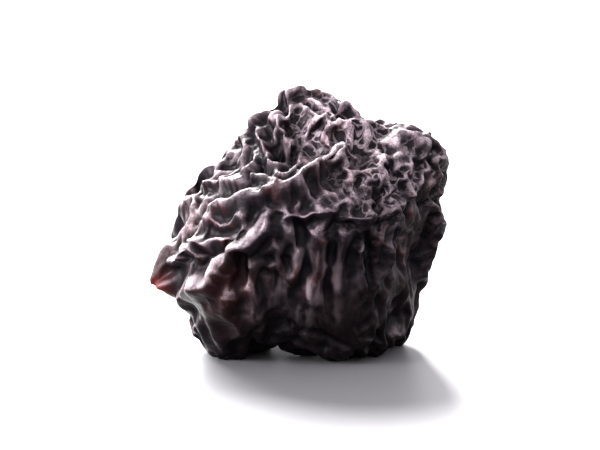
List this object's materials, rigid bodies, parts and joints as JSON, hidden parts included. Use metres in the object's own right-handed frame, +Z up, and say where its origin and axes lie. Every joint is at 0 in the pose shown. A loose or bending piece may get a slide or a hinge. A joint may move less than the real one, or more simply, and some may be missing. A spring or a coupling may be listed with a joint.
{
  "type": "prune",
  "caption": "A plum dried whole: a dark, wrinkled, roundish fruit with a pointed tip on one side, resting on the flattened undersides of its lobes.",
  "frame": {"origin": "on the surface that the fruit rests on, below the middle of its bounding box", "axes": "+Z up, +X along the longest extent, away from the pointed tip, +Y along the shortest extent, towards the back as the picture shows it"},
  "size_m": [0.0311, 0.027, 0.0282],
  "materials": {
    "dried_skin": "near-black purple-brown dried skin, glossy on the folds, with a faint pale bloom on the crests and reddish brown where the skin is thin"
  },
  "bodies": {
    "root": {"prune": "dried_skin"}
  },
  "joints": []
}
